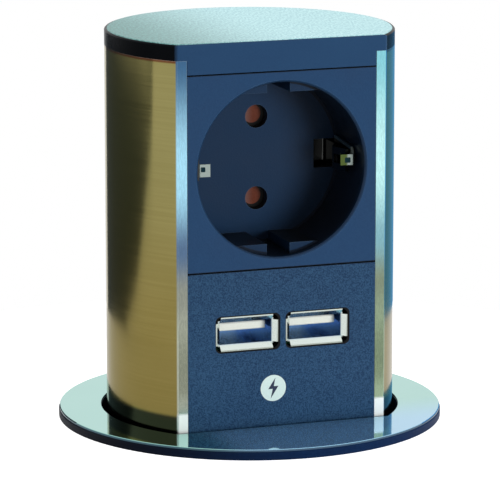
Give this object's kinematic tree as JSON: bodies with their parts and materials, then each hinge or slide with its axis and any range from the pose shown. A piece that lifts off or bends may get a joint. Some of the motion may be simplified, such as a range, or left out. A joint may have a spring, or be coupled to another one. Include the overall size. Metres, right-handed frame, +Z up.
{
  "type": "pop up desk socket",
  "caption": "Flat fronted column with a mains socket and charging ports that rises out of a worktop sleeve under a polished ring, with gas spring, latch and clamp nut.",
  "frame": {"origin": "on the column's axis, in the plane of the worktop's surface where the flange rests", "axes": "+Z up along the column's travel; the flat front with the socket faces -Y; +X to the right seen from the front"},
  "size_m": [0.0936, 0.0936, 0.2362],
  "materials": {
    "column_metal": "brushed, warm",
    "lid_metal": "satin",
    "trim_steel": "polished",
    "cap_plastic": "satin",
    "socket_plastic": "satin",
    "charging_plastic": "fine grain",
    "sleeve_plastic": "satin",
    "inner_plastic": "satin",
    "shutter_plastic": "satin",
    "shoe_plastic": "satin",
    "tongue_plastic": "gloss",
    "terminal_plastic": "satin",
    "gland_plastic": "satin",
    "seal_rubber": "matt",
    "brass_metal": "bright",
    "earth_metal": "nickel plated",
    "shell_metal": "bright",
    "gold_metal": "gold plated",
    "screw_steel": "zinc plated",
    "steel_metal": "satin",
    "spring_steel": "bright",
    "tube_metal": "gloss black",
    "board_laminate": "lacquered",
    "winding_varnish": "taped",
    "can_sleeve": "gloss"
  },
  "bodies": {
    "housing": {"guide_head": "sleeve_plastic", "head_screws": "screw_steel", "outer_sleeve": "sleeve_plastic", "trim_ring": "trim_steel", "desk_gasket": "seal_rubber", "wiper_seal": "seal_rubber", "stop_bumper": "seal_rubber", "bottom_cap": "sleeve_plastic", "bottom_screws": "screw_steel", "gas_rod": "steel_metal", "rod_nut": "screw_steel", "latch_bracket": "steel_metal", "latch_pin": "steel_metal", "latch_spring": "spring_steel"},
    "latch": {"latch_pawl": "steel_metal"},
    "clamp_washer": {"clamp_washer": "steel_metal"},
    "clamp_nut": {"clamp_nut": "sleeve_plastic"},
    "shutter": {"shutter": "shutter_plastic"},
    "column": {"column_profile": "column_metal", "top_cap": "cap_plastic", "lid_plate": "lid_metal", "cap_screws": "screw_steel", "socket_insert": "socket_plastic", "socket_back": "inner_plastic", "shutter_spring": "spring_steel", "live_contact": "brass_metal", "neutral_contact": "brass_metal", "contact_screws": "screw_steel", "earth_bow": "earth_metal", "usb_fascia": "charging_plastic", "usb_shell_left": "shell_metal", "usb_shell_right": "shell_metal", "usb_tongue_left": "tongue_plastic", "usb_tongue_right": "tongue_plastic", "usb_contacts": "gold_metal", "usb_board": "board_laminate", "transformer": "winding_varnish", "capacitors": "can_sleeve", "usb_cover": "inner_plastic", "foot_plate": "socket_plastic", "base_plate": "inner_plastic", "base_screws": "screw_steel", "guide_shoes": "shoe_plastic", "gas_tube": "tube_metal", "gas_bush": "brass_metal", "cable_gland": "gland_plastic", "gland_nut": "gland_plastic", "gland_dome": "gland_plastic", "gland_seal": "seal_rubber", "terminal_block": "terminal_plastic", "terminal_screws": "screw_steel", "latch_striker": "steel_metal", "striker_screws": "screw_steel"}
  },
  "joints": [
    {"name": "column_slide", "type": "slide", "parent": "housing", "child": "column", "axis": [0, 0, -1], "range_m": [0, 0.0884], "stiffness_N_per_m": 30, "springref_m": -0.5},
    {"name": "latch_swing", "type": "hinge", "parent": "housing", "child": "latch", "pos_m": [0, -0.03049, -0.136], "axis": [-1, 0, 0], "range_deg": [0, 18], "stiffness_Nm_per_rad": 0.02, "springref_deg": -17.19},
    {"name": "shutter_slide", "type": "slide", "parent": "column", "child": "shutter", "axis": [1, 0, 0], "range_m": [0, 0.006], "stiffness_N_per_m": 120, "springref_m": -0.004, "deforming": ["shutter_spring"]},
    {"name": "clamp_travel", "type": "slide", "parent": "housing", "child": "clamp_washer", "axis": [0, 0, -1], "range_m": [-0.015, 0.025]},
    {"name": "nut_turn", "type": "hinge", "parent": "clamp_washer", "child": "clamp_nut", "pos_m": [0, 0, 0], "axis": [0, 0, -1], "range_deg": [-1350.1, 2250.1]}
  ],
  "couplings": [
    {"joint": "nut_turn", "follows": "clamp_travel", "rad_per_m": 1570.8}
  ]
}
